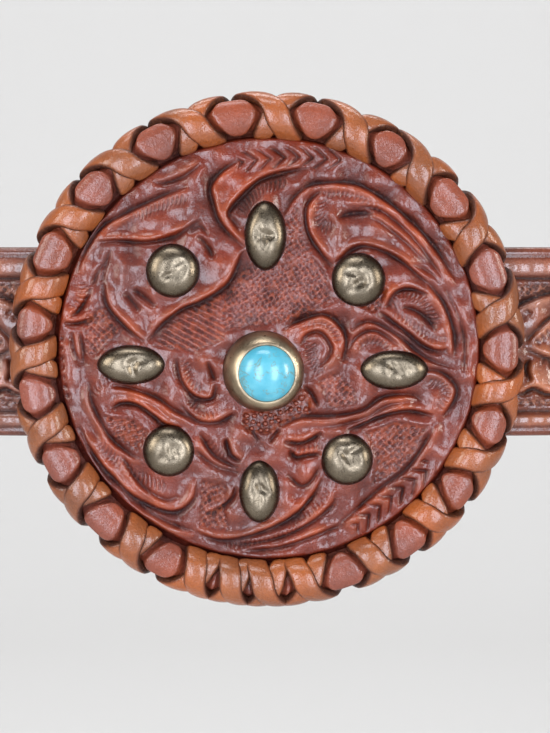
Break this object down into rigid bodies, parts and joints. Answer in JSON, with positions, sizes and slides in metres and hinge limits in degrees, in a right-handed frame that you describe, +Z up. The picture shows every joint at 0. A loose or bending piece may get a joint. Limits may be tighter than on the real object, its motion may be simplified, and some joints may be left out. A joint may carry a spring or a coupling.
{
  "type": "leather concho belt",
  "caption": "Closed leather waist belt with a round carved leather concho at the front, laced round its rim and set with domed metal studs and a blue cabochon.",
  "frame": {"origin": "middle of the waist opening, at mid-height of the strap", "axes": "+Z up along the wearer's body, -Y to the wearer's front where the concho sits, +X to the viewer's right"},
  "size_m": [0.3076, 0.2556, 0.1008],
  "materials": {
    "belt_leather": "glossy antiqued",
    "carved_leather": "glossy antiqued, carved",
    "binding_leather": "matte",
    "lace_leather": "waxed",
    "stud_metal": "antique, worn",
    "bezel_metal": "antique",
    "clasp_metal": "antique",
    "turquoise": "polished"
  },
  "bodies": {
    "root": {"strap": "belt_leather", "closure_clasp": "clasp_metal", "concho_disc": "carved_leather", "rim_binding": "binding_leather", "edge_lacing": "lace_leather", "bezel_cup": "bezel_metal", "blue_stone": "turquoise", "stud_round_nw": "stud_metal", "stud_round_ne": "stud_metal", "stud_round_sw": "stud_metal", "stud_round_se": "stud_metal", "stud_oval_n": "stud_metal", "stud_oval_s": "stud_metal", "stud_oval_w": "stud_metal", "stud_oval_e": "stud_metal"}
  },
  "joints": []
}
